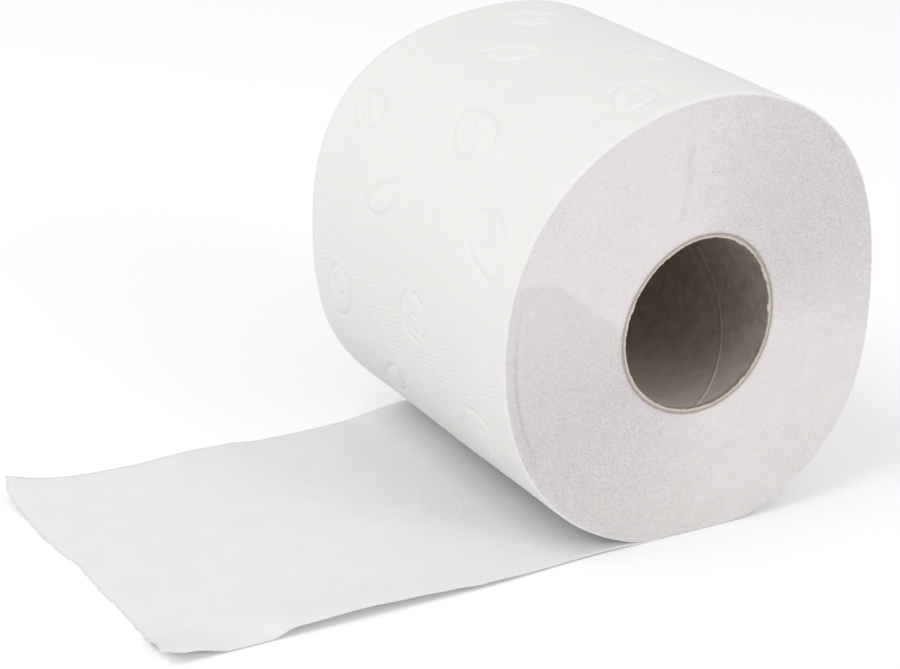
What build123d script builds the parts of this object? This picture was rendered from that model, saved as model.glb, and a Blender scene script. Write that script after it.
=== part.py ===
from build123d import *
import math
import os

# A toilet paper roll lying on its side, with the end of the paper pulled out flat
# beside it. All sizes are in millimetres.
# The origin is on the core's axis, halfway along it. +Y runs along the axis, +Z is
# up, and the loose end of the paper lies towards -X.

# The wound paper
roll_diameter = 113.0      # mean diameter over the turns
web_width = 94.0           # width of the paper, which is the roll's length
sheet_thickness = 0.5      # one embossed two-ply sheet, lying loose

# The core
core_bore_diameter = 43.0
core_wall = 1.2            # two plies of greyboard, glued

# The flat spot that the soft roll rests on
flat_spot_width = 21.0
flat_spot_shift = 1.5      # its middle stands off the axis, towards +X
flat_spot_depth = 0.6      # how far it is pressed in from the mean radius

# How far the outside stands off the mean radius, every 30 degrees from -60, turning
# from +X towards +Z. The soft turns bulge beside the flat spot and above it.
bulge_start = -60.0
bulge_step = 30.0
bulges = [3.1, 1.5, -3.3, -1.3, 0.9, 0.4, 0.8, 1.2, -1.5, -1.0, -0.4]

# The loose end of the paper
tail_length = 131.5        # from the flat spot's edge to the torn end
tab_pitch = 4.7            # the perforation's ties, torn through
tab_width = 1.2
tab_length = 0.9

mean_radius = roll_diameter / 2
core_outer_radius = core_bore_diameter / 2 + core_wall
floor_level = flat_spot_depth - mean_radius
flat_spot_left = flat_spot_shift - flat_spot_width / 2
flat_spot_right = flat_spot_shift + flat_spot_width / 2
torn_end = flat_spot_left - tail_length


def roll_outline():
    """The section of the wound turns: a flat spot, then one smooth curve around."""
    around = []
    for step, bulge in enumerate(bulges):
        angle = math.radians(bulge_start + step * bulge_step)
        radius = mean_radius + bulge
        around.append((radius * math.cos(angle), radius * math.sin(angle)))
    left = (flat_spot_left, floor_level)
    right = (flat_spot_right, floor_level)
    flat = Line(left, right)
    # the curve leaves the flat spot level and comes back to it level
    curve = Spline(right, *around, left, tangents=((1, 0), (1, 0)), tangent_scalars=(1, 1))
    return Plane.XZ * make_face([flat, curve])


def wound_turns():
    """All the turns as one solid, with the hole that the core fills."""
    turns = extrude(roll_outline(), amount=web_width / 2, both=True)
    core_hole = Plane.XZ * Circle(core_outer_radius)
    return turns - extrude(core_hole, amount=web_width / 2, both=True)


def tail():
    """The loose sheet on the floor, from under the flat spot to its torn end."""
    length = flat_spot_shift - torn_end
    middle = Pos((flat_spot_shift + torn_end) / 2, 0, floor_level + sheet_thickness / 2)
    return middle * Box(length, web_width, sheet_thickness)


def torn_tabs():
    """The stubs of the perforation's ties, in a row along the torn end."""
    count = math.floor((web_width - tab_width) / tab_pitch) + 1
    first = -(count - 1) * tab_pitch / 2
    # each stub runs back into the sheet by its own length
    tab = Box(2 * tab_length, tab_width, sheet_thickness)
    level = floor_level + sheet_thickness / 2
    return [Pos(torn_end, first + place * tab_pitch, level) * tab for place in range(count)]


def tissue_roll():
    """The turns and the loose end, which are one web of paper."""
    return wound_turns() + tail() + torn_tabs()


def core_tube():
    """The core, cut to the same length as the paper."""
    section = Circle(core_outer_radius) - Circle(core_bore_diameter / 2)
    return extrude(Plane.XZ * section, amount=web_width / 2, both=True)


os.makedirs("parts", exist_ok=True)
export_step(tissue_roll(), "parts/tissue_roll.step")
export_step(core_tube(), "parts/core_tube.step")
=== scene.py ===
import math

import bmesh
import bpy
import numpy as np
from mathutils import Matrix, Vector, geometry, noise


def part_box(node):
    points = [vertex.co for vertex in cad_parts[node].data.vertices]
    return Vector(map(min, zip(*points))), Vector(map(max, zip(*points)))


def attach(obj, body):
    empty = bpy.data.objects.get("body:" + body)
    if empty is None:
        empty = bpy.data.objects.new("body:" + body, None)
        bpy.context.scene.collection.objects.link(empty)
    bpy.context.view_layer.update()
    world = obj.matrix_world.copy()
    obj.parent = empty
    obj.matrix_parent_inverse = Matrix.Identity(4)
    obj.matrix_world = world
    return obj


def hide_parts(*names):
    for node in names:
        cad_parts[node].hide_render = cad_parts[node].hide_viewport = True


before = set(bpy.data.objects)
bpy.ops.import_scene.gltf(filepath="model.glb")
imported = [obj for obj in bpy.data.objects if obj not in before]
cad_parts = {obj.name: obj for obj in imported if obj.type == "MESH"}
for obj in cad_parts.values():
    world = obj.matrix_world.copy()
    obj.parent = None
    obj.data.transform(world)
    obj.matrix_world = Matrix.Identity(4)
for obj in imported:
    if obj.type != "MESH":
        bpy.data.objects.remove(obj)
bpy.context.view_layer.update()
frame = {"nodes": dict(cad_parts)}
print("frame loaded:", ", ".join(frame["nodes"]))

mm = 0.001               # the shapes below are worked out in millimetres
rollLow, rollHigh = [[c / mm for c in corner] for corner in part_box("tissue_roll")]
coreHigh = [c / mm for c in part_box("core_tube")[1]]
floorLevel = rollLow[2]
halfWidth = rollHigh[1]
coreRadius = coreHigh[0]


def linear(hexColour):
    # sRGB hex to the linear values that a shader takes
    parts = [int(hexColour[i:i + 2], 16) / 255 for i in (1, 3, 5)]
    return [c / 12.92 if c <= 0.04045 else ((c + 0.055) / 1.055) ** 2.4 for c in parts] + [1.0]


def addNode(tree, kind, inputs=None, **settings):
    # inputs maps a socket's name or number to a value, or to the output it is linked from
    node = tree.nodes.new(kind)
    for name, value in settings.items():
        setattr(node, name, value)
    for name, value in (inputs or {}).items():
        if isinstance(value, bpy.types.NodeSocket):
            tree.links.new(value, node.inputs[name])
        else:
            node.inputs[name].default_value = value
    return node


def newMaterial(name):
    material = bpy.data.materials.new(name)
    material.use_nodes = True
    material.node_tree.nodes.clear()
    return material, material.node_tree


def placeInMm(tree):
    # the place on the piece, so that a pattern can be given its real size
    place = addNode(tree, "ShaderNodeTexCoord").outputs["Object"]
    return addNode(tree, "ShaderNodeVectorMath", {0: place, "Scale": 1 / mm}, operation="SCALE").outputs[0]


def noiseAt(points, size, seed):
    # smooth noise from -1 to 1 with lumps about size mm across
    shift = Vector((seed, seed * 1.7, -seed))
    return np.array([noise.noise(Vector(p) + shift) for p in np.asarray(points) / size])


def waves(points, kinds):
    # smooth noises added up, each given as (height, size, seed)
    return sum(height * noiseAt(points, size, seed) for height, size, seed in kinds)


def smoothStep(x, low, high):
    t = np.clip((x - low) / (high - low), 0, 1)
    return t * t * (3 - 2 * t)


def distanceTo(points, line):
    # the least distance from each point to a line of short straight runs
    a, b = line[:-1], line[1:]
    run = b - a
    share = ((points[:, None] - a) * run).sum(2) / (run ** 2).sum(1)
    nearest = a + np.clip(share, 0, 1)[..., None] * run
    return np.sqrt(((points[:, None] - nearest) ** 2).sum(2)).min(1)


def ridge(x, y, line, width):
    # 1 along a line drawn on a flat surface, fading within width mm of it
    points = np.column_stack([x, y])
    return np.exp(-(distanceTo(points, np.array(line, dtype=float)) / width) ** 2)


def roundPlace(angle, radius, third):
    # places on a cylinder, where noise joins up all the way round
    return np.column_stack(np.broadcast_arrays(np.cos(angle) * radius, np.sin(angle) * radius, third))


def bandFaces(before, after):
    # quads between two closed rings, given as the numbers of their points
    return np.column_stack([before, np.roll(before, -1), np.roll(after, -1), after]).tolist()


def newPiece(name, points, faces, materials, faceMaterial=None):
    mesh = bpy.data.meshes.new(name)
    mesh.from_pydata((np.asarray(points) * mm).tolist(), [], faces)
    for material in materials:
        mesh.materials.append(material)
    if faceMaterial is not None:
        mesh.polygons.foreach_set("material_index", faceMaterial)
    mesh.polygons.foreach_set("use_smooth", [True] * len(mesh.polygons))
    mesh.update()
    piece = bpy.data.objects.new(name, mesh)
    bpy.context.scene.collection.objects.link(piece)
    return piece


def setWeb(piece, cornerWeb):
    # the place of each corner on the flat web, in mm, kept as a UV map
    layer = piece.data.uv_layers.new(name="web")
    layer.data.foreach_set("uv", np.asarray(cornerWeb, dtype=np.float32).ravel())


def setPointValues(piece, name, values):
    # a number or a vector for each point, for a material to read
    values = np.asarray(values, dtype=np.float32)
    kind, field = ("FLOAT_VECTOR", "vector") if values.ndim == 2 else ("FLOAT", "value")
    attribute = piece.data.attributes.new(name, kind, "POINT")
    attribute.data.foreach_set(field, values.ravel())


# the embossed leaves, on the flat web: along runs down the web, across over its width
leaves = {
    "repeat": 50.2,          # mm along the web before a column's leaf comes back
    "grooveDepth": 0.52,
    "grooveWidth": 0.58,
    "pillow": 0.16,          # the leaf's middle stands up by this
    "bow": 0.05,             # how far its axis bows aside, as a share of its length
    # two powers that shape the outline: where it is widest, and how full its ends are
    "pointed": (0.8, 0.75),
    "blunt": (1.0, 0.45),
    "veinDepth": 0.31,
    "veinWidth": 0.40,
    "veinStart": 0.22,       # from the middle towards the tip, as a share of the leaf's length
    "veinStagger": 0.10,     # the last vein starts nearly this much further back
    "veinReach": (0.34, 0.12),       # share of the length, and how much more in the middle of the leaf
    "veinSpread": (0.22, 0.05),      # places across, as shares of the width: apart, and all to one side
    "veinCurl": 0.9,         # mm aside at a vein's end
    "ringPlace": -0.12,      # an inner ring's middle, as a share of the leaf's length
    "margin": 3.0,           # mm round a leaf that its grooves still reach
    "wander": (-7.5, 160.0, 42.0),   # the web ran this far sideways, at this place and to this spread
    # each column: place across, first place along, then its leaves in turn, as
    # length, width, direction of the tip in degrees, number of veins, radius of an inner ring
    "columns": [
        (-31.2, 5.4, [(17.0, 11.0, 133, 3, 0), (18.5, 12.0, 137, 5, 0)]),
        (-6.0, 32.7, [(19.0, 11.5, -20, 4, 0), (12.5, 12.0, -75, 0, 2.3)]),
        (14.0, 8.5, [(15.5, 6.8, 38, 0, 0), (13.5, 7.4, 33, 0, 0)]),
        (34.0, 40.5, [(14.0, 10.0, -30, 2, 0), (16.0, 11.0, 62, 0, 2.5)]),
    ],
}


def leafLines(length, width, tilt, veins, ring):
    # the grooves of one leaf about its own middle, as (points, depth, width)
    t = np.linspace(0.01, 0.98, 40)
    widest, fullness = leaves["pointed"] if veins else leaves["blunt"]
    half = width / 2 * np.sin(np.pi * t ** widest) ** fullness
    axis = (t - 0.5) * length
    bow = leaves["bow"] * length
    bend = bow * (1 - (2 * t - 1) ** 2)
    groove = (leaves["grooveDepth"], leaves["grooveWidth"])
    # the second side starts a little later, which leaves the outline open at the blunt end
    lines = [(axis, bend + half, *groove), (axis[3:], (bend - half)[3:], *groove)]
    fine = (leaves["veinDepth"], leaves["veinWidth"])
    reach, more = leaves["veinReach"]
    apart, aside = leaves["veinSpread"]
    for number in range(veins):
        # short strokes side by side, running from near the tip towards the blunt end
        side = (number + 0.5) / veins * 2 - 1
        run = np.linspace(0.0, 1.0, 8)
        start = leaves["veinStart"] - leaves["veinStagger"] * number / veins
        x = length * (start - (reach + more * (1 - side ** 2)) * run)
        y = bow + width * (apart * side + aside) + leaves["veinCurl"] * run ** 2
        lines.append((x, y, *fine))
    if ring:
        # a ring that doesn't quite close
        angle = np.linspace(0.3, 2 * math.pi - 0.2, 18)
        lines.append((ring * np.cos(angle) + leaves["ringPlace"] * length, ring * np.sin(angle), *fine))
    turn = math.radians(tilt)
    turned = []
    for x, y, depth, spread in lines:
        across = x * math.cos(turn) - y * math.sin(turn)
        along = x * math.sin(turn) + y * math.cos(turn)
        turned.append((np.column_stack([along, across]), depth, spread))
    return turned


def leavesOn(start, end, shift=0.0, wander=0.0):
    # every leaf whose middle lies on this stretch of the web: (middle, kind, lines)
    found = []
    amount, wanderPlace, spread = leaves["wander"]
    for across, first, kinds in leaves["columns"]:
        origin = first + shift
        lowest = math.ceil((start - origin) / leaves["repeat"])
        highest = math.floor((end - origin) / leaves["repeat"])
        for number in range(lowest, highest + 1):
            along = origin + number * leaves["repeat"]
            kind = kinds[number % len(kinds)]
            aside = wander * amount * math.exp(-((along - wanderPlace) / spread) ** 2)
            found.append(((along, across + aside), kind, leafLines(*kind)))
    return found


def leafRelief(web, found):
    # height of the embossing at points (along, across) of the web, and how plain the paper is there
    height, plain = np.zeros(len(web)), np.zeros(len(web))
    for middle, (length, width, tilt, _, _), lines in found:
        local = web - middle
        close = np.flatnonzero((np.abs(local) < length * 0.5 + leaves["margin"]).all(1))
        if not len(close):
            continue
        turn = math.radians(tilt)
        x = local[close, 1] * math.cos(turn) + local[close, 0] * math.sin(turn)
        y = local[close, 0] * math.cos(turn) - local[close, 1] * math.sin(turn)
        inside = (2 * x / length) ** 2 + (2 * y / width) ** 2
        rise = leaves["pillow"] * np.exp(-inside ** 2)
        for line, depth, spread in lines:
            rise -= depth * np.exp(-(distanceTo(local[close], line) / spread) ** 2)
        height[close] += rise
        # plain within the outline, fading out just past it
        plain[close] = np.maximum(plain[close], 1 - smoothStep(inside, 0.9, 1.5))
    return height, plain


webPoints = {
    "edgeMargin": 0.45,      # how near a groove's points come to the edge, as a share of the edge's step
    "grooveStep": 0.7,       # mm between points along a groove
    "grooveRows": (0, -0.7, 0.7, -1.4, 1.4, -2.3, 2.3),      # rows beside it, as shares of its width
    "grooveGap": 0.24,       # the least distance between two of these points, in mm
    "evenGap": 0.62,         # and from them to the even points
}


def groovePoints(found):
    # rows of points along each groove, close enough together to give it a clean form
    rows = []
    for middle, _, lines in found:
        for line, _, spread in lines:
            step = np.hypot(*np.diff(line, axis=0).T)
            length = np.concatenate([[0], np.cumsum(step)])
            count = max(3, int(length[-1] / webPoints["grooveStep"]))
            at = np.linspace(0, length[-1], count)
            middleRow = np.column_stack([np.interp(at, length, line[:, i]) for i in (0, 1)])
            ahead = np.gradient(middleRow, axis=0)
            ahead /= np.hypot(*ahead.T)[:, None]
            aside = np.column_stack([-ahead[:, 1], ahead[:, 0]])
            for offset in webPoints["grooveRows"]:
                rows.append((middle + middleRow + aside * offset * spread, abs(offset)))
    # the middle rows come first, because the first point of a crowded place is the one kept
    rows.sort(key=lambda row: row[1])
    return np.vstack([points for points, _ in rows])


def keepApart(points, taken, gap):
    # drops each point that is closer than gap to one kept before it
    cells = {}
    kept = []
    for fixed, group in ((True, taken), (False, points)):
        for p in group:
            cell = (int(p[0] // gap), int(p[1] // gap))
            if not fixed and any(
                (q[0] - p[0]) ** 2 + (q[1] - p[1]) ** 2 < gap * gap
                for i in (-1, 0, 1) for j in (-1, 0, 1)
                for q in cells.get((cell[0] + i, cell[1] + j), ())
            ):
                continue
            cells.setdefault(cell, []).append(p)
            if not fixed:
                kept.append(p)
    return np.array(kept).reshape(-1, 2)


def webMesh(start, end, half, edgeStep, step, found):
    # triangles over a stretch of web: even points, with rows of them along the grooves
    alongCount = round((end - start) / edgeStep)
    acrossCount = round(2 * half / edgeStep)
    along = np.linspace(start, end, alongCount + 1)
    across = np.linspace(-half, half, acrossCount + 1)
    edge = np.vstack([
        np.column_stack([along, np.full_like(along, -half)]),
        np.column_stack([along, np.full_like(along, half)]),
        np.column_stack([np.full(acrossCount - 1, start), across[1:-1]]),
        np.column_stack([np.full(acrossCount - 1, end), across[1:-1]]),
    ])
    grooves = groovePoints(found)
    margin = webPoints["edgeMargin"] * edgeStep
    within = (np.abs(grooves[:, 1]) < half - margin) & (grooves[:, 0] > start + margin)
    grooves = grooves[within & (grooves[:, 0] < end - margin)]
    grooves = keepApart(grooves, edge, webPoints["grooveGap"])
    rows = np.arange(start + step, end - step / 2, step)
    even = []
    for number, row in enumerate(rows):
        # every second row stands a little aside
        inset = step * (0.75 if number % 2 else 0.5)
        places = np.arange(-half + inset, half - step * 0.4, step)
        even.append(np.column_stack([np.full_like(places, row), places]))
    even = keepApart(np.vstack(even), grooves, webPoints["evenGap"])
    points = np.vstack([edge, grooves, even])
    result = geometry.delaunay_2d_cdt([Vector(p) for p in points], [], [], 0, 1e-7)
    faces = [list(face) for face in result[2]]
    return points, faces, alongCount, acrossCount


# the outermost turn and the outline it is rolled on
wound = {
    "meanRadius": 56.5,
    # how far the outline stands off the mean, every 30 degrees from +X towards +Z
    "nearBulge": [-3.2, -1.4, 0.9, 0.8, 0.75, 0.65, -1.2, -1.0, -0.2, 1.2, 3.2, 1.4],
    "farBulge": [-3.4, -1.1, 0.95, -0.9, 0.9, 1.95, -1.85, -0.9, -0.7, 1.9, 2.6, 1.75],
    "seamAngle": -101.0,     # where the loose end leaves the roll
    "outlineSteps": 2880,
    "pressedSoftness": 0.35, # how gently the outline meets the floor, in mm
    "lip": 0.55,             # radius of the soft edge of the outermost turns
    "edgeStep": 0.8,
    "step": 1.3,
    "crushed": (0.2, 1.8),   # the saw crushes the dots this near to the edge, in mm, then less and less
    # the slack of the turn, as height, size and seed, laid out round a circle of slackRadius
    "slack": [(0.22, 26, 7.7), (0.10, 11, 2.2)],
    "slackRadius": 56.0,
    # rings of faces from the rim to the core, closer together near the rim
    "ringShares": [*np.linspace(0, 0.14, 13)[1:], *np.linspace(0.14, 1, 35)[1:]],
}
hole = {
    "clearance": 0.02,       # mm, and as much again between the paper and the core
    # the core is a little out of round: (times round, cosine, sine) in mm
    "waves": [(2, -0.42, -0.34), (3, -0.24, -0.20)],
}


def outlineOf(bulges):
    # closed outline in XZ, starting where the loose end leaves: x, z, outward x, outward z, length
    angle = np.radians(np.linspace(wound["seamAngle"], wound["seamAngle"] + 360, wound["outlineSteps"] + 1))
    terms = np.fft.rfft(bulges) / len(bulges)
    radius = np.full_like(angle, wound["meanRadius"] + terms[0].real)
    for k in range(1, len(terms)):
        weight = 1 if 2 * k == len(bulges) else 2
        radius += weight * (terms[k].real * np.cos(k * angle) - terms[k].imag * np.sin(k * angle))
    x, z = radius * np.cos(angle), radius * np.sin(angle)
    soft = wound["pressedSoftness"]
    z = floorLevel + soft * np.logaddexp(0, (z - floorLevel) / soft)
    dx, dz = np.gradient(x), np.gradient(z)
    size = np.hypot(dx, dz)
    length = np.concatenate([[0], np.cumsum(np.hypot(np.diff(x), np.diff(z)))])
    return x, z, dz / size, -dx / size, length


nearOutline = outlineOf(wound["nearBulge"])
farOutline = outlineOf(wound["farBulge"])
girth = nearOutline[4][-1]
flatHalf = halfWidth - wound["lip"]
webHalf = flatHalf + wound["lip"] * math.pi / 2      # half the web's width, measured over both soft edges


def onRoll(along, across, relief):
    # the place in space of a point of the outermost turn
    bend = np.clip(np.abs(across) - flatHalf, 0, None) / wound["lip"]
    side = np.sign(across)
    y = side * (np.minimum(np.abs(across), flatHalf) + wound["lip"] * np.sin(bend))
    share = (y / halfWidth + 1) / 2
    place = []
    for column in range(4):
        near = np.interp(along, nearOutline[4], nearOutline[column])
        far = np.interp(along / girth * farOutline[4][-1], farOutline[4], farOutline[column])
        place.append(near * (1 - share) + far * share)
    x, z, outX, outZ = place
    out = relief * np.cos(bend) - wound["lip"] * (1 - np.cos(bend))
    return np.column_stack([x + outX * out, y + side * relief * np.sin(bend), z + outZ * out])


def slack(along, across):
    # how far the outermost turn stands off the others, by a few tenths of a millimetre
    place = roundPlace(along / girth * 2 * math.pi, wound["slackRadius"], across)
    return waves(place, wound["slack"])


def holeRadius(angle):
    radius = np.full_like(angle, coreRadius - hole["clearance"])
    for times, cosine, sine in hole["waves"]:
        radius += cosine * np.cos(times * angle) + sine * np.sin(times * angle)
    return radius


# the sawn ends; lines on them are given as x and z in mm
endFace = {
    # a soft fold from the rim to the core, with painted shade below it where the nap lies the other way
    "crease": [(-58, 17.8), (-53, 18.4), (-45, 18.4), (-42, 17.5), (-40, 16), (-36, 13), (-32, 9.7),
               (-27, 6), (-22, 2.5)],
    "creaseHeight": 0.42,
    "creaseWidth": 1.5,
    # and a shorter one on the other side of the hole
    "ridge": [(24, 5.8), (28, 6.4), (31, 4.6), (35, 2.9), (40, 0.9), (46, -1.0), (54, -1.6)],
    "ridgeHeight": 0.48,
    "ridgeWidth": 1.4,
    # a fine line scored down the end above the hole
    "score": [(-6.2, 45), (-7.3, 41), (-6.4, 37), (-6.9, 33), (-7.8, 28)],
    "scoreDepth": 0.62,
    "scoreWidth": 0.8,
    # where the outer turns have come a little apart from the rest
    "grooveDepth": 0.65,
    "grooveWidth": 0.38,
    "groovePlace": 3.0,      # mm in from the rim
    "grooveSpan": (190, 22),         # degrees, and how far it spreads
    # slow waves of the whole end, as height, size and seed
    "flow": [(0.22, 22, 3.1), (0.10, 8, 5.3)],
    # and the edges of single turns, which are long round the end and thin across it
    "turnEdges": [(0.09, 1.0, 1.7)],
    "turnLength": 14.0,
    "turnScale": 0.8,
    "otherEnd": (20, 30),    # steps aside in the noise, so that the two ends differ
    "softRim": 1.6,          # mm in from the rim over which the relief sets in
    # the saw leaves the fibres standing in two quarters: share, degrees, spread
    "standing": [(1.0, 224, 34), (0.8, 48, 36)],
    "standingLeast": 0.35,
    "napShadeEdge": (-0.4, 1.1),  # how sharply the painted shade of the nap changes at the fold, in mm
    "napShadePast": 6.0,          # how far past the line's inner end it still does, in mm
    "napShadeLeft": (150, 160, 184, 250),         # degrees: starts, is full, starts to fade, is gone
    "napShadeRight": (0.45, 25, 70),              # share, starts to fade, is gone
    "strandRadius": 40.0,    # the strands are laid out round a circle of this radius, in mm
}


def fadeRound(angle, place, spread):
    # 1 at this place round the end, in degrees, fading to both sides
    return np.exp(-((np.degrees(angle) % 360 - place) / spread) ** 2)


def standingFibres(angle):
    # how much the fibres stand up, round the end
    total = endFace["standingLeast"]
    for share, place, spread in endFace["standing"]:
        total = total + share * fadeRound(angle, place, spread)
    return total


def faceRelief(x, z, depth, side):
    # how far the sawn end stands out or in: depth is the distance in from the rim
    angle = np.arctan2(z, x)
    flowStep, turnStep = endFace["otherEnd"]
    turns = roundPlace(angle, endFace["turnLength"], depth * endFace["turnScale"] + side * turnStep)
    flow = np.column_stack([x, z, np.full_like(x, side * flowStep)])
    relief = waves(flow, endFace["flow"])
    relief += waves(turns, endFace["turnEdges"]) * standingFibres(angle)
    fromGroove = (depth - endFace["groovePlace"]) / endFace["grooveWidth"]
    loosened = fadeRound(angle, *endFace["grooveSpan"])
    relief -= endFace["grooveDepth"] * np.exp(-fromGroove ** 2) * loosened
    if side < 0:
        relief += endFace["creaseHeight"] * ridge(x, z, endFace["crease"], endFace["creaseWidth"])
        relief += endFace["ridgeHeight"] * ridge(x, z, endFace["ridge"], endFace["ridgeWidth"])
        relief -= endFace["scoreDepth"] * ridge(x, z, endFace["score"], endFace["scoreWidth"])
    return relief * smoothStep(depth, 0, endFace["softRim"])


def napShadeMask(x, z, side):
    # painted shade: 1 where the sawn fibres lie the other way and the end is painted a shade darker
    if side > 0:
        return np.zeros_like(x)
    past, sharp = endFace["napShadePast"], endFace["napShadeEdge"]
    angle = np.degrees(np.arctan2(z, x)) % 360
    line = np.array(endFace["crease"])
    below = smoothStep(np.interp(x, *line.T) - z, *sharp) * (x < line[-1, 0] + past)
    starts, full, fades, gone = endFace["napShadeLeft"]
    left = below * (1 - smoothStep(angle, fades, gone)) * smoothStep(angle, starts, full)
    line = np.array(endFace["ridge"])
    above = smoothStep(z - np.interp(x, *line.T), *sharp) * (x > line[0, 0] - past)
    share, fades, gone = endFace["napShadeRight"]
    return left + share * above * (1 - smoothStep(angle, fades, gone))


def sawnEnd(rim, side):
    # rings of points from the rim to the hole, each with its place among the turns and its painted nap shade
    angle = np.arctan2(rim[:, 2], rim[:, 0])
    outer = rim[:, [0, 2]]
    inner = holeRadius(angle)[:, None] * np.column_stack([np.cos(angle), np.sin(angle)])
    wholeDepth = np.hypot(*(outer - inner).T)
    rings = []
    for share in wound["ringShares"]:
        x, z = (outer * (1 - share) + inner * share).T
        depth = wholeDepth * share
        relief = faceRelief(x, z, depth, side) if share < 1 else np.zeros_like(x)
        rings.append((
            np.column_stack([x, side * (halfWidth + relief), z]),
            roundPlace(angle, endFace["strandRadius"], depth),
            napShadeMask(x, z, side),
        ))
    return rings


def makeWoundRoll(materials):
    found = leavesOn(0, girth, wander=1.0)
    web, faces, alongCount, acrossCount = webMesh(
        0, girth, webHalf, wound["edgeStep"], wound["step"], found)
    relief, plain = leafRelief(web, found)
    relief += slack(web[:, 0], web[:, 1])
    plain = np.maximum(plain, 1 - smoothStep(webHalf - np.abs(web[:, 1]), *wound["crushed"]))
    points = onRoll(web[:, 0], web[:, 1], relief)
    nearEdge = np.arange(alongCount + 1)
    farEdge = nearEdge + alongCount + 1
    # the end of the turn closes on its start
    merge = np.arange(len(points))
    merge[nearEdge[-1]], merge[farEdge[-1]] = nearEdge[0], farEdge[0]
    startRow = 2 * (alongCount + 1) + np.arange(acrossCount - 1)
    merge[startRow + acrossCount - 1] = startRow
    cornerWeb = [web[corner] for face in faces for corner in face]
    faces = [[int(merge[corner]) for corner in face] for face in faces]
    sideFaces = len(faces)
    allPoints, turns, napShades = [points], [np.zeros((len(points), 3))], [np.zeros(len(points))]
    total = len(points)
    holeRings = []
    for edge, side in ((nearEdge[:-1], -1), (farEdge[:-1], 1)):
        rings = sawnEnd(points[edge], side)
        turns[0][edge] = rings[0][1] * (1, 1, 0)     # the rim itself is at depth 0
        before = edge
        for ring, turn, napShade in rings:
            here = np.arange(total, total + len(edge))
            total += len(edge)
            faces += bandFaces(before, here)
            allPoints.append(ring)
            turns.append(turn)
            napShades.append(napShade)
            before = here
        holeRings.append(before)
    faces += bandFaces(*holeRings)
    # points that nothing uses any more, where the turn closed on itself, are dropped
    used = np.unique([corner for face in faces for corner in face])
    place = np.full(total, -1)
    place[used] = np.arange(len(used))
    faces = [[int(place[corner]) for corner in face] for face in faces]
    points = np.vstack(allPoints)[used]
    plain = np.concatenate([plain, np.zeros(total - len(plain))])
    piece = newPiece("wound_paper", points, faces, materials,
                     [0] * sideFaces + [1] * (len(faces) - sideFaces))
    for face in faces[sideFaces:]:
        cornerWeb.extend(points[corner, [0, 2]] for corner in face)
    setWeb(piece, cornerWeb)
    setPointValues(piece, "plain", plain[used])
    setPointValues(piece, "turn", np.vstack(turns)[used])
    setPointValues(piece, "napShade", np.concatenate(napShades)[used])
    return piece


# the loose end on the floor
looseEnd = {
    "tornPlace": -140.5,     # mm along X
    # how far the torn line comes in from tornPlace: y, then mm
    "tornLine": [(-47, -0.2), (-39, 1.0), (-30, 2.1), (-20, 2.2), (-10, 1.8), (4, 1.8), (15, 0.4),
                 (22, -0.3), (43, -0.5), (47, 1.1)],
    "tornWaves": [(0.7, 9, 1.9), (0.17, 2.2, 6.2)],          # height, size, seed
    "tornReach": 24.0,       # mm over which the sheet follows its torn line
    "tabPitch": 4.7,         # the perforation's ties
    "tabLength": 0.2,
    "tabWidth": 0.7,
    "startPlace": -6.0,      # hidden under the roll
    "thickness": 0.25,
    "bed": 0.02,             # mm between the sheet and the floor
    "leastTop": 0.30,        # the top is never nearer to the floor than this
    "leafShift": 6.0,        # the leaves' own places on this stretch
    "leafMargins": (4, 6),   # no leaf's middle is this near to either end
    "leafShare": 0.13,       # the embossing shows weaker from the back of the sheet
    "step": 1.3,
    "edgeStep": 0.7,
    # the lifted back corner: height, then how far it reaches along and across, and a power
    "backCurl": (4.6, 11.0, 9.0, 1.3),
    # how high the edges stand off the floor: x, then mm
    "nearLift": [(-141, 4.2), (-134, 2.5), (-123, 0.1), (-114, 0.1), (-107, 2.0), (-90, 2.5), (-76, 2.0),
                 (-66, 1.5), (-58, 0.9), (-40, 0.3)],
    "backLift": [(-119, 0.1), (-106, 0.2), (-90, 1.05), (-79, 0.9), (-69, 0)],
    "nearReach": 10.0,       # how far in from its edge the sheet is lifted
    "backReach": 12.0,
    "liftStart": (2, 14),    # mm from the start, over which the sheet comes off the flat
    "slack": [(0.13, 24, 4.4), (0.04, 9, 8.1)],              # height, size, seed
    "slackReach": 22.0,      # mm from the torn end, over which it sets in
    "shift": -1.9,           # the whole sheet was laid down this far towards the near side
    "shiftFade": (-62, -22),
    "fold": [(-134, -20), (-118, 2), (-107, 8), (-96, 6)],   # a faint crumple: x and y in mm
    "foldHeight": 0.30,
    "foldWidth": 1.6,
    # at the back the sheet still comes down from the roll: height, then from where to where in x and y
    "backSlope": (2.2, (-46, -22), (-30, 45)),
}


def alongStops(place, stops):
    # eases from each value to the next
    total = np.full_like(place, float(stops[0][1]))
    for (start, before), (end, after) in zip(stops, stops[1:]):
        total += (after - before) * smoothStep(place, start, end)
    return total


def sheetHeight(x, y):
    # the sheet's height over the floor: it lies nearly flat, with its edges lifted here and there
    fromEnd = np.maximum(x - looseEnd["tornPlace"], 0)
    fromEdge = np.maximum(halfWidth - y, 0)
    rise, reach, spread, power = looseEnd["backCurl"]
    height = rise * np.exp(-(fromEnd / reach) ** power) * np.exp(-(fromEdge / spread) ** power)
    flat = np.column_stack([x, y, np.zeros_like(x)])
    unsettled = sum(amount * (1 + noiseAt(flat, size, seed)) for amount, size, seed in looseEnd["slack"])
    height += smoothStep(fromEnd, 0, looseEnd["slackReach"]) * unsettled
    height += alongStops(x, looseEnd["nearLift"]) * np.exp(-((y + halfWidth) / looseEnd["nearReach"]) ** 2)
    height += alongStops(x, looseEnd["backLift"]) * np.exp(-((y - halfWidth) / looseEnd["backReach"]) ** 2)
    height += looseEnd["foldHeight"] * ridge(x, y, looseEnd["fold"], looseEnd["foldWidth"])
    rise, alongX, alongY = looseEnd["backSlope"]
    height += rise * smoothStep(x, *alongX) * smoothStep(y, *alongY)
    return height


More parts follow.
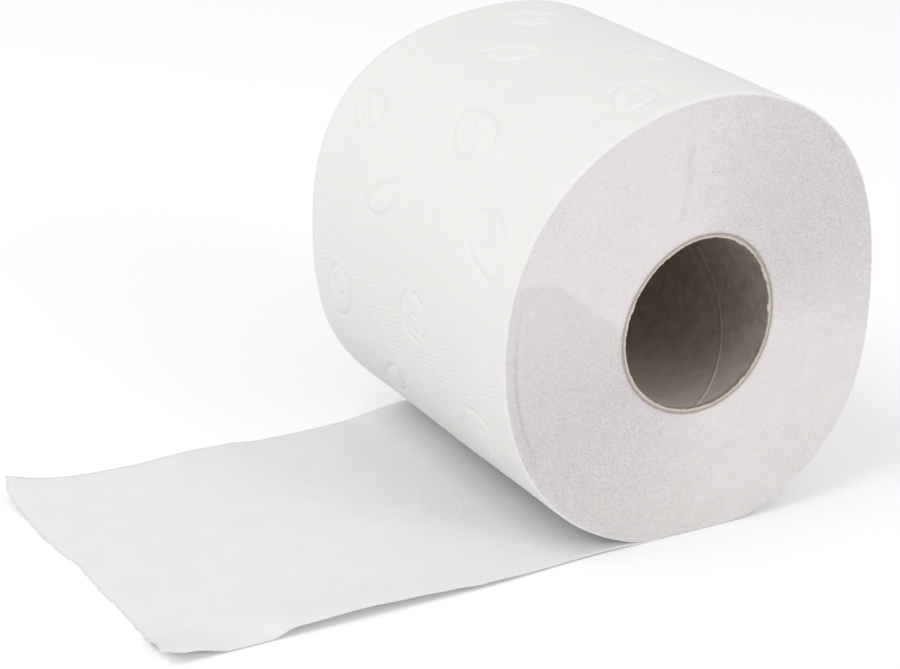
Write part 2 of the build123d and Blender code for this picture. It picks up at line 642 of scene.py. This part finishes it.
def tornEdge(across):
    # how far the torn edge stands out: it wanders, with a stub of fibre at each tie
    tie = np.abs((across / looseEnd["tabPitch"] + 0.5) % 1 - 0.5) * looseEnd["tabPitch"]
    torn = waves(np.outer(across, (1, 0, 0)), looseEnd["tornWaves"])
    torn += looseEnd["tabLength"] * np.exp(-(tie / looseEnd["tabWidth"]) ** 2)
    return torn - alongStops(across, looseEnd["tornLine"])


def makeLooseEnd(material):
    start = looseEnd["startPlace"]
    length = start - looseEnd["tornPlace"]
    fromStart, fromEnd = looseEnd["leafMargins"]
    found = leavesOn(fromStart, length - fromEnd, looseEnd["leafShift"])
    web, faces, alongCount, acrossCount = webMesh(
        0, length, halfWidth, looseEnd["edgeStep"], looseEnd["step"], found)
    relief, plain = leafRelief(web, found)
    relief *= -looseEnd["leafShare"]
    along, across = web.T
    x = start - along - tornEdge(across) * smoothStep(along, length - looseEnd["tornReach"], length)
    y = across + looseEnd["shift"] * (1 - smoothStep(x, *looseEnd["shiftFade"]))
    bed = floorLevel + looseEnd["bed"]
    bottom = bed + sheetHeight(x, across) * smoothStep(along, *looseEnd["liftStart"]) + relief
    top = bottom + looseEnd["thickness"]
    lower = np.column_stack([x, y, np.maximum(bottom, bed)])
    upper = np.column_stack([x, y, np.maximum(top, floorLevel + looseEnd["leastTop"])])
    count = len(web)
    under = [[corner + count for corner in reversed(face)] for face in faces]
    # the rim all round, in the order in which webMesh numbers the edge's points
    near = list(range(alongCount + 1))
    far = [corner + alongCount + 1 for corner in near]
    first = [2 * (alongCount + 1) + i for i in range(acrossCount - 1)]
    last = [corner + acrossCount - 1 for corner in first]
    rim = np.array(near + last + far[::-1] + first[::-1])
    walls = bandFaces(rim, rim + count)
    cornerWeb = [web[corner] for face in faces for corner in face]
    cornerWeb += [web[corner] for face in faces for corner in reversed(face)]
    cornerWeb += [web[corner % count] for face in walls for corner in face]
    piece = newPiece("loose_sheet", np.vstack([upper, lower]), faces + under + walls, [material])
    setWeb(piece, cornerWeb)
    setPointValues(piece, "plain", np.tile(plain, 2))
    return piece, length


core = {
    "wall": 1.2,             # two plies, glued
    "plyJoint": 0.55,        # the joint between the plies, in from the outside
    "around": 420,
    "ringStep": 1.2,
    "cutReach": 1.3,         # mm at each end that the cut takes up
    "seamLead": 90.0,        # mm along the axis for one turn of the spiral seam
    "seamPlace": (287.0, -43.3),     # a point the inner ply's seam passes: degrees, mm along the axis
    "seamHeight": 0.20,
    "seamWidth": 0.7,        # degrees
    "seamSlope": (0.45, 7.0),        # share of the height that slopes away on one side, over these degrees
    # points near it, in degrees
    "besideSeam": (-2.4, -1.6, -1.0, -0.6, -0.3, 0, 0.3, 0.6, 1.0, 1.6, 2.4),
    "seamHighlight": 0.4,        # painted highlight along the ply's edge at the seam: how pale it is made
    "seamHighlightWidth": 0.6,
    "dustAndPaintedLight": 0.58,            # saw dust and painted light: the share by which the bottom of the bore is made paler near its ends
    "dustAndPaintedLightReach": 44.0,       # mm in from the ends
    # where the cut has frayed: degrees, spread, how much
    "fray": [(38, 24, 0.9), (158, 12, 0.8), (2, 8, 0.5), (300, 60, 0.25)],
    "frayLeast": 0.2,
    "frayRadius": 23.0,      # the fray's noises are laid out round a circle of this radius
    "frayStep": (3.0, 9.0),  # and step aside this much for a mm of depth, and for the other end
    # how the frayed cut wavers, as height, size and seed
    "fuzz": [(1.0, 2.4, 2.0), (0.7, 0.8, 9.0)],
    "fuzzHeight": 0.3,
    "sideways": (0.3, 1.0, 4.0),
    "shreds": (0.6, 1.6, 6.0),
    "outerCut": 0.45,        # the outer ply's cut is the greyer one
}


def frayAt(degrees):
    total = np.full_like(degrees, core["frayLeast"])
    for place, spread, amount in core["fray"]:
        away = (degrees - place + 180) % 360 - 180
        total += amount * np.exp(-(away / spread) ** 2)
    return total


def cutRing(degrees, outer, place, side, depth, stand, share):
    # a ring of points on a cut end: radius, place along the axis, and how pale the board is
    perDepth, perSide = core["frayStep"]
    rough = roundPlace(np.radians(degrees), core["frayRadius"], depth * perDepth + side * perSide)
    fray = frayAt(degrees)
    amount, size, seed = core["sideways"]
    radius = outer - depth + amount * share * fray * noiseAt(rough, size, seed)
    if depth > core["plyJoint"]:
        amount, size, seed = core["shreds"]
        radius -= amount * share * fray * np.clip(noiseAt(rough, size, seed), 0, 1)
    y = place + side * (stand + core["fuzzHeight"] * share * waves(rough, core["fuzz"]) * (0.4 + fray))
    if stand < -0.2:
        shade = 0.0          # just round the corner from the cut
    else:
        shade = core["outerCut"] if depth < core["plyJoint"] else 1.0
    return np.minimum(radius, outer), y, np.full_like(degrees, shade)


def boreRing(angle, offsets, outer, place):
    # a ring of points inside the bore: the ply's edge stands up on one side of the seam and slopes
    # away on the other
    share, slope = core["seamSlope"]
    step = np.exp(-(offsets / core["seamWidth"]) ** 2) + share * np.exp(-offsets / slope)
    radius = outer - core["wall"] - core["seamHeight"] * step
    fromSeam = np.minimum(offsets % 360, 360 - offsets % 360)
    # painted highlight along the seam: the ply's edge there is made paler, as if it caught the light
    fibre = core["seamHighlight"] * np.exp(-(fromSeam / core["seamHighlightWidth"]) ** 2)
    dustAndPaintedLight = core["dustAndPaintedLight"] * math.exp(-(halfWidth - abs(place)) / core["dustAndPaintedLightReach"])
    # painted light: both are made palest at the bottom of the bore and fade towards its top
    low = np.clip(-np.sin(angle), 0, 1)
    shade = fibre * np.clip(low + 0.2, 0, 1) + dustAndPaintedLight * low ** 1.5
    return radius, np.full_like(angle, place), shade


def makeCore(material):
    # every ring starts at the seam, so that the seam is one clean line down the bore
    beside = np.array(core["besideSeam"])
    others = core["around"] - len(beside) + 2
    offsets = np.concatenate([beside, np.linspace(beside[-1], 360 + beside[0], others)[1:-1]])
    around = len(offsets)
    wall, joint = core["wall"], core["plyJoint"]
    first, start = core["seamPlace"]
    # across the cut, from the outside in: depth, how far the cut stands out or in, share of fray
    cut = [(0.0, -0.5, 0), (0.04, -0.12, 0.3), (0.2, 0.0, 0.6), (joint - 0.12, 0.0, 0.6),
           (joint, -0.16, 0.3), (joint + 0.12, 0.04, 0.6), (0.8, 0.10, 0.9), (1.0, 0.03, 1.0),
           (wall, -0.22, 1.0), (wall, -0.7, 0.3)]
    boreHalf = halfWidth - core["cutReach"]
    count = round(2 * boreHalf / core["ringStep"])
    profile = [(-halfWidth, -1, *row) for row in cut]
    profile += [(place, 0) for place in np.linspace(-boreHalf, boreHalf, count)]
    profile += [(halfWidth, 1, *row) for row in cut[::-1]]
    rings, shades = [], []
    for place, side, *row in profile:
        degrees = first + (place - start) / core["seamLead"] * 360 + offsets
        angle = np.radians(degrees)
        outer = holeRadius(angle) - hole["clearance"]
        if side:
            radius, y, shade = cutRing(degrees, outer, place, side, *row)
        else:
            radius, y, shade = boreRing(angle, offsets, outer, place)
        rings.append(np.column_stack([radius * np.cos(angle), y, radius * np.sin(angle)]))
        shades.append(shade)
    numbers = np.arange(len(rings) * around).reshape(len(rings), around)
    faces = []
    for before, after in zip(numbers, numbers[1:]):
        faces += bandFaces(before, after)
    # the outside runs straight from end to end, matched by angle
    turnBack = 2 * halfWidth / core["seamLead"] * 360
    shift = int(np.argmin(np.abs((offsets - turnBack % 360 + 180) % 360 - 180)))
    faces += bandFaces(numbers[-1], np.roll(numbers[0], -shift))
    piece = newPiece("cardboard_core", np.vstack(rings), faces, [material])
    # the paleness of each point: the cut ends, the painted highlight at the seam, and the dust and painted
    # light in the bore
    setPointValues(piece, "cut", np.concatenate(shades))
    return piece


tissue = {
    "paper": "#E4E3E1",       # bleached recycled pulp, a touch warm
    "shade": "#E2E2E0",
    "back": ("#E4E4E4", "#E2E2E2"),
    "backDots": 0.08,         # how much of the dots' height shows from the back
    "dotFrequency": 0.76,     # embossed dots in a hexagonal pattern, 1.5 mm apart
    "dotTilt": -15.0,         # degrees from the web's length
    "dotHeight": 0.09,        # mm
    "dotWaves": (1.0, 0.6, 0.6),   # one of the three sets of waves is the strongest
    "fibreSize": 0.7,         # mm, drawn coarser than the real fibres so that it shows
    "fibreHeight": 0.03,
    "cloudSize": 9.0,         # mm, the pulp's uneven thickness
    "roughness": 0.95,
    "specular": 0.2,
}


def dotPattern(tree, coordinate, frequency, tilt):
    # three sets of waves 60 degrees apart add up to a hexagonal pattern of dots
    total = None
    for turn, share in zip((0, 60, 120), tissue["dotWaves"]):
        angle = math.radians(tilt + turn)
        wave = 2 * math.pi * frequency
        along = (math.cos(angle) * wave, math.sin(angle) * wave, 0)
        dot = addNode(tree, "ShaderNodeVectorMath", {0: coordinate, 1: along}, operation="DOT_PRODUCT")
        cosine = addNode(tree, "ShaderNodeMath", {0: dot.outputs["Value"]}, operation="COSINE").outputs[0]
        dots = addNode(tree, "ShaderNodeMath", {0: cosine, 1: share}, operation="MULTIPLY").outputs[0]
        if total is None:
            total = dots
        else:
            total = addNode(tree, "ShaderNodeMath", {0: total, 1: dots}, operation="ADD").outputs[0]
    return total


def embossedTissue(name, light, dark, dotShare):
    # two plies of creped tissue pressed between rollers: dull, with soft dots and fibre mottle
    material, tree = newMaterial(name)
    web = addNode(tree, "ShaderNodeUVMap", uv_map="web").outputs["UV"]
    place = placeInMm(tree)
    dots = dotPattern(tree, web, tissue["dotFrequency"], tissue["dotTilt"])
    fibre = addNode(tree, "ShaderNodeTexNoise",
                    {"Vector": place, "Scale": 1 / tissue["fibreSize"], "Detail": 3.0, "Roughness": 0.6})
    cloud = addNode(tree, "ShaderNodeTexNoise",
                    {"Vector": place, "Scale": 1 / tissue["cloudSize"], "Detail": 2.0})
    # the leaves and the sawn edges are free of dots
    plain = addNode(tree, "ShaderNodeAttribute", attribute_name="plain").outputs["Fac"]
    share = addNode(tree, "ShaderNodeMapRange",
                    {"Value": plain, "To Min": tissue["dotHeight"] * dotShare / 3, "To Max": 0.0}).outputs[0]
    dotHeight = addNode(tree, "ShaderNodeMath", {0: dots, 1: share}, operation="MULTIPLY").outputs[0]
    fuzz = addNode(tree, "ShaderNodeMath",
                   {0: fibre.outputs["Fac"], 1: tissue["fibreHeight"]}, operation="MULTIPLY").outputs[0]
    height = addNode(tree, "ShaderNodeMath", {0: dotHeight, 1: fuzz}, operation="ADD").outputs[0]
    bump = addNode(tree, "ShaderNodeBump", {"Height": height, "Distance": mm, "Strength": 1.0})
    spread = addNode(tree, "ShaderNodeMapRange",
                     {"Value": cloud.outputs["Fac"], "From Min": 0.35, "From Max": 0.65}).outputs[0]
    colour = addNode(tree, "ShaderNodeMix",
                     {"Factor": spread, 6: linear(dark), 7: linear(light)}, data_type="RGBA")
    shader = addNode(tree, "ShaderNodeBsdfPrincipled",
                     {"Base Color": colour.outputs[2], "Roughness": tissue["roughness"],
                      "Specular IOR Level": tissue["specular"], "Normal": bump.outputs["Normal"]})
    addNode(tree, "ShaderNodeOutputMaterial", {"Surface": shader.outputs[0]})
    return material


sawnEnds = {
    "edge": "#DAD4D4",        # many paper edges side by side hold more shade, faintly pink
    "light": "#E2DCDC",
    "cloudSize": 5.0,         # mm, slow mottle
    "rim": 0.3,               # mm at the rim that still show the web's own colour
    "strandLength": 1.7,      # mm along the turns
    "strandWidth": 0.5,       # mm across the turns
    "strandHeight": 0.34,
    "grain": 0.52,            # mm, the cut fibres standing between the strands
    "grainHeight": 0.58,
    "standing": (-0.5, 0.9),  # where the fibres stand up least and most, on a wave twice round the end
    "lying": 0.35,            # the share of their height that lying fibres keep
    "paintedPitShade": 0.86,              # painted shade in the small pits between the strands: their colour is scaled down to this
    "pitShadeLevels": (0.20, 0.42),       # of the grain, from the deepest to where no painted pit shade shows
    "pitShadeShift": -0.10,        # standing fibres bring the levels down by this, which spreads the painted pit shade
    "paintedNapShade": 0.945,            # painted shade: how dark the laid nap is made against the rest
    "roughness": 0.98,
    "specular": 0.1,
}


def sawnTissue():
    # the saw-cut ends of a few hundred turns: short strands lying along the turns
    material, tree = newMaterial("sawn tissue edges")
    turn = addNode(tree, "ShaderNodeAttribute", attribute_name="turn").outputs["Vector"]
    napShade = addNode(tree, "ShaderNodeAttribute", attribute_name="napShade").outputs["Fac"]
    parts = addNode(tree, "ShaderNodeSeparateXYZ", {0: turn})
    length, width = sawnEnds["strandLength"], sawnEnds["strandWidth"]
    strand = addNode(tree, "ShaderNodeVectorMath",
                     {0: turn, 1: (1 / length, 1 / length, 1 / width)}, operation="MULTIPLY").outputs[0]
    strands = addNode(tree, "ShaderNodeTexNoise",
                      {"Vector": strand, "Scale": 1.0, "Detail": 3.0, "Roughness": 0.6})
    place = placeInMm(tree)
    grain = addNode(tree, "ShaderNodeTexNoise",
                    {"Vector": place, "Scale": 1 / sawnEnds["grain"], "Detail": 2.0, "Roughness": 0.6})
    cloud = addNode(tree, "ShaderNodeTexNoise",
                    {"Vector": place, "Scale": 1 / sawnEnds["cloudSize"], "Detail": 3.0})
    # the fibres stand up most at lower left and upper right
    angle = addNode(tree, "ShaderNodeMath",
                    {0: parts.outputs[1], 1: parts.outputs[0]}, operation="ARCTAN2").outputs[0]
    double = addNode(tree, "ShaderNodeMath", {0: angle, 1: 2.0}, operation="MULTIPLY").outputs[0]
    quarter = addNode(tree, "ShaderNodeMath", {0: double}, operation="SINE").outputs[0]
    least, most = sawnEnds["standing"]
    share = addNode(tree, "ShaderNodeMapRange",
                    {"Value": quarter, "From Min": least, "From Max": most,
                     "To Min": sawnEnds["lying"], "To Max": 1.0}).outputs[0]
    long = addNode(tree, "ShaderNodeMath",
                   {0: strands.outputs["Fac"], 1: sawnEnds["strandHeight"]}, operation="MULTIPLY").outputs[0]
    short = addNode(tree, "ShaderNodeMath",
                    {0: grain.outputs["Fac"], 1: sawnEnds["grainHeight"]}, operation="MULTIPLY").outputs[0]
    both = addNode(tree, "ShaderNodeMath", {0: long, 1: short}, operation="ADD").outputs[0]
    height = addNode(tree, "ShaderNodeMath", {0: both, 1: share}, operation="MULTIPLY").outputs[0]
    bump = addNode(tree, "ShaderNodeBump", {"Height": height, "Distance": mm, "Strength": 1.0})
    mottle = addNode(tree, "ShaderNodeMath",
                     {0: strands.outputs["Fac"], 1: cloud.outputs["Fac"]}, operation="ADD").outputs[0]
    tint = addNode(tree, "ShaderNodeMapRange",
                   {"Value": mottle, "From Min": 0.5, "From Max": 1.5}).outputs[0]
    cut = addNode(tree, "ShaderNodeMix",
                  {"Factor": tint, 6: linear(sawnEnds["edge"]), 7: linear(sawnEnds["light"])},
                  data_type="RGBA")
    rim = addNode(tree, "ShaderNodeMapRange",
                  {"Value": parts.outputs[2], "From Min": 0.0, "From Max": sawnEnds["rim"]}).outputs[0]
    colour = addNode(tree, "ShaderNodeMix",
                     {"Factor": rim, 6: linear(tissue["paper"]), 7: cut.outputs[2]}, data_type="RGBA")
    # painted shade where the nap lies the other way
    paintedNapShade = addNode(tree, "ShaderNodeMapRange",
                   {"Value": napShade, "To Min": 1.0, "To Max": sawnEnds["paintedNapShade"]}).outputs[0]
    # painted shade in the pits, where the grain is lowest, and mostly where the fibres stand up
    deep = addNode(tree, "ShaderNodeMath",
                   {0: share, 1: sawnEnds["pitShadeShift"]}, operation="MULTIPLY").outputs[0]
    level = addNode(tree, "ShaderNodeMath", {0: grain.outputs["Fac"], 1: deep}, operation="ADD").outputs[0]
    deepest, highest = sawnEnds["pitShadeLevels"]
    paintedPitShade = addNode(tree, "ShaderNodeMapRange",
                  {"Value": level, "From Min": deepest, "From Max": highest,
                   "To Min": sawnEnds["paintedPitShade"], "To Max": 1.0}).outputs[0]
    # both painted shades together: the laid nap's and the pits'
    paintedShade = addNode(tree, "ShaderNodeMath", {0: paintedNapShade, 1: paintedPitShade}, operation="MULTIPLY").outputs[0]
    shaded = addNode(tree, "ShaderNodeVectorMath",
                     {0: colour.outputs[2], "Scale": paintedShade}, operation="SCALE").outputs[0]
    shader = addNode(tree, "ShaderNodeBsdfPrincipled",
                     {"Base Color": shaded, "Roughness": sawnEnds["roughness"],
                      "Specular IOR Level": sawnEnds["specular"], "Normal": bump.outputs["Normal"]})
    addNode(tree, "ShaderNodeOutputMaterial", {"Surface": shader.outputs[0]})
    return material


board = {
    "dark": "#807469",
    "light": "#9D9085",
    "cut": "#CABFB5",         # the sawn edge is cleaner and full of loose white fibre; the bore's painted highlight and painted light take this colour too
    "grain": 1.0,             # mm
    "fleck": 3.2,
    "height": 0.06,
    "roughness": 0.9,
    "specular": 0.3,
}


def greyboard():
    # recycled board, unbleached: brown grey with darker and lighter fibres
    material, tree = newMaterial("spiral wound greyboard")
    place = placeInMm(tree)
    grain = addNode(tree, "ShaderNodeTexNoise",
                    {"Vector": place, "Scale": 1 / board["grain"], "Detail": 4.0, "Roughness": 0.7})
    fleck = addNode(tree, "ShaderNodeTexNoise",
                    {"Vector": place, "Scale": 1 / board["fleck"], "Detail": 2.0, "Roughness": 0.5})
    height = addNode(tree, "ShaderNodeMath",
                     {0: grain.outputs["Fac"], 1: board["height"]}, operation="MULTIPLY").outputs[0]
    bump = addNode(tree, "ShaderNodeBump", {"Height": height, "Distance": mm, "Strength": 1.0})
    mottle = addNode(tree, "ShaderNodeMath",
                     {0: grain.outputs["Fac"], 1: fleck.outputs["Fac"]}, operation="ADD").outputs[0]
    tint = addNode(tree, "ShaderNodeMapRange",
                   {"Value": mottle, "From Min": 0.7, "From Max": 1.3}).outputs[0]
    inside = addNode(tree, "ShaderNodeMix",
                     {"Factor": tint, 6: linear(board["dark"]), 7: linear(board["light"])},
                     data_type="RGBA")
    # the cut attribute also carries the painted highlight at the seam and the dust and painted light at the
    # bottom of the bore
    cut = addNode(tree, "ShaderNodeAttribute", attribute_name="cut").outputs["Fac"]
    colour = addNode(tree, "ShaderNodeMix",
                     {"Factor": cut, 6: inside.outputs[2], 7: linear(board["cut"])}, data_type="RGBA")
    shader = addNode(tree, "ShaderNodeBsdfPrincipled",
                     {"Base Color": colour.outputs[2], "Roughness": board["roughness"],
                      "Specular IOR Level": board["specular"], "Normal": bump.outputs["Normal"]})
    addNode(tree, "ShaderNodeOutputMaterial", {"Surface": shader.outputs[0]})
    return material


sideTissue = embossedTissue("embossed recycled tissue", tissue["paper"], tissue["shade"], 1.0)
looseTissue = embossedTissue("embossed recycled tissue, back", *tissue["back"], tissue["backDots"])
woundPaper = makeWoundRoll([sideTissue, sawnTissue()])
print("wound paper made:", len(woundPaper.data.polygons), "faces")
looseSheet, looseLength = makeLooseEnd(looseTissue)
print("loose end made:", len(looseSheet.data.polygons), "faces")
cardboardCore = makeCore(greyboard())
print("core made:", len(cardboardCore.data.polygons), "faces")

for piece in (woundPaper, looseSheet, cardboardCore):
    work = bmesh.new()
    work.from_mesh(piece.data)
    bmesh.ops.recalc_face_normals(work, faces=work.faces)
    work.to_mesh(piece.data)
    work.free()
    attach(piece, "root")

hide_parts("tissue_roll")
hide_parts("tissue_roll")
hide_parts("core_tube")

studio = {
    "floor": "#FFFFFF",
    "floorSize": 6.0,         # m
    "sky": 0.762,
    # soft boxes: power in W, width in m, place
    "boxes": {
        "key light": (8.1, 0.9, (-1.00, -0.10, 1.20)),
        "front light": (4.95, 0.6, (0.50, -1.45, 0.80)),
    },
}

floorMaterial, floorTree = newMaterial("pale floor")
floorShader = addNode(floorTree, "ShaderNodeBsdfPrincipled",
                      {"Base Color": linear(studio["floor"]), "Roughness": 0.9, "Specular IOR Level": 0.0})
addNode(floorTree, "ShaderNodeOutputMaterial", {"Surface": floorShader.outputs[0]})
reach = studio["floorSize"] / 2
floorMesh = bpy.data.meshes.new("floor")
floorMesh.from_pydata([(-reach, -reach, 0), (reach, -reach, 0), (reach, reach, 0), (-reach, reach, 0)],
                      [], [(0, 1, 2, 3)])
floorMesh.materials.append(floorMaterial)
floor = bpy.data.objects.new("floor", floorMesh)
floor.location.z = floorLevel * mm
bpy.context.scene.collection.objects.link(floor)

world = bpy.data.worlds.new("white tent")
world.use_nodes = True
world.node_tree.nodes.clear()
sky = addNode(world.node_tree, "ShaderNodeBackground", {"Color": (1, 1, 1, 1), "Strength": studio["sky"]})
addNode(world.node_tree, "ShaderNodeOutputWorld", {"Surface": sky.outputs[0]})
bpy.context.scene.world = world

for name, (power, size, place) in studio["boxes"].items():
    box = bpy.data.objects.new(name, bpy.data.lights.new(name, "AREA"))
    box.data.energy = power
    box.data.size = size
    box.location = place
    box.rotation_euler = (Vector((0, 0, 0)) - box.location).to_track_quat("-Z", "Y").to_euler()
    bpy.context.scene.collection.objects.link(box)

shot = {
    "azimuth": -32.25,        # degrees, from looking along +Y
    "elevation": 22.64,
    "roll": 2.99,
    "distance": 0.5912,       # m
    "target": (-0.0385, 0.0029, -0.01465),
    "lens": 95.1,
}
turn, rise, tip = (math.radians(shot[name]) for name in ("azimuth", "elevation", "roll"))
back = Vector((math.sin(turn) * math.cos(rise), -math.cos(turn) * math.cos(rise), math.sin(rise)))
level = Vector((0, 0, 1)).cross(back).normalized()
upright = back.cross(level)
right = math.cos(tip) * level + math.sin(tip) * upright
up = back.cross(right)
camera = bpy.data.objects.new("camera", bpy.data.cameras.new("camera"))
camera.data.lens = shot["lens"]
camera.matrix_world = Matrix.Translation(Vector(shot["target"]) + back * shot["distance"]) @ Matrix(
    (right, up, back)).transposed().to_4x4()
bpy.context.scene.collection.objects.link(camera)
bpy.context.scene.camera = camera
bpy.context.scene.view_settings.view_transform = "Standard"
print("stage set")
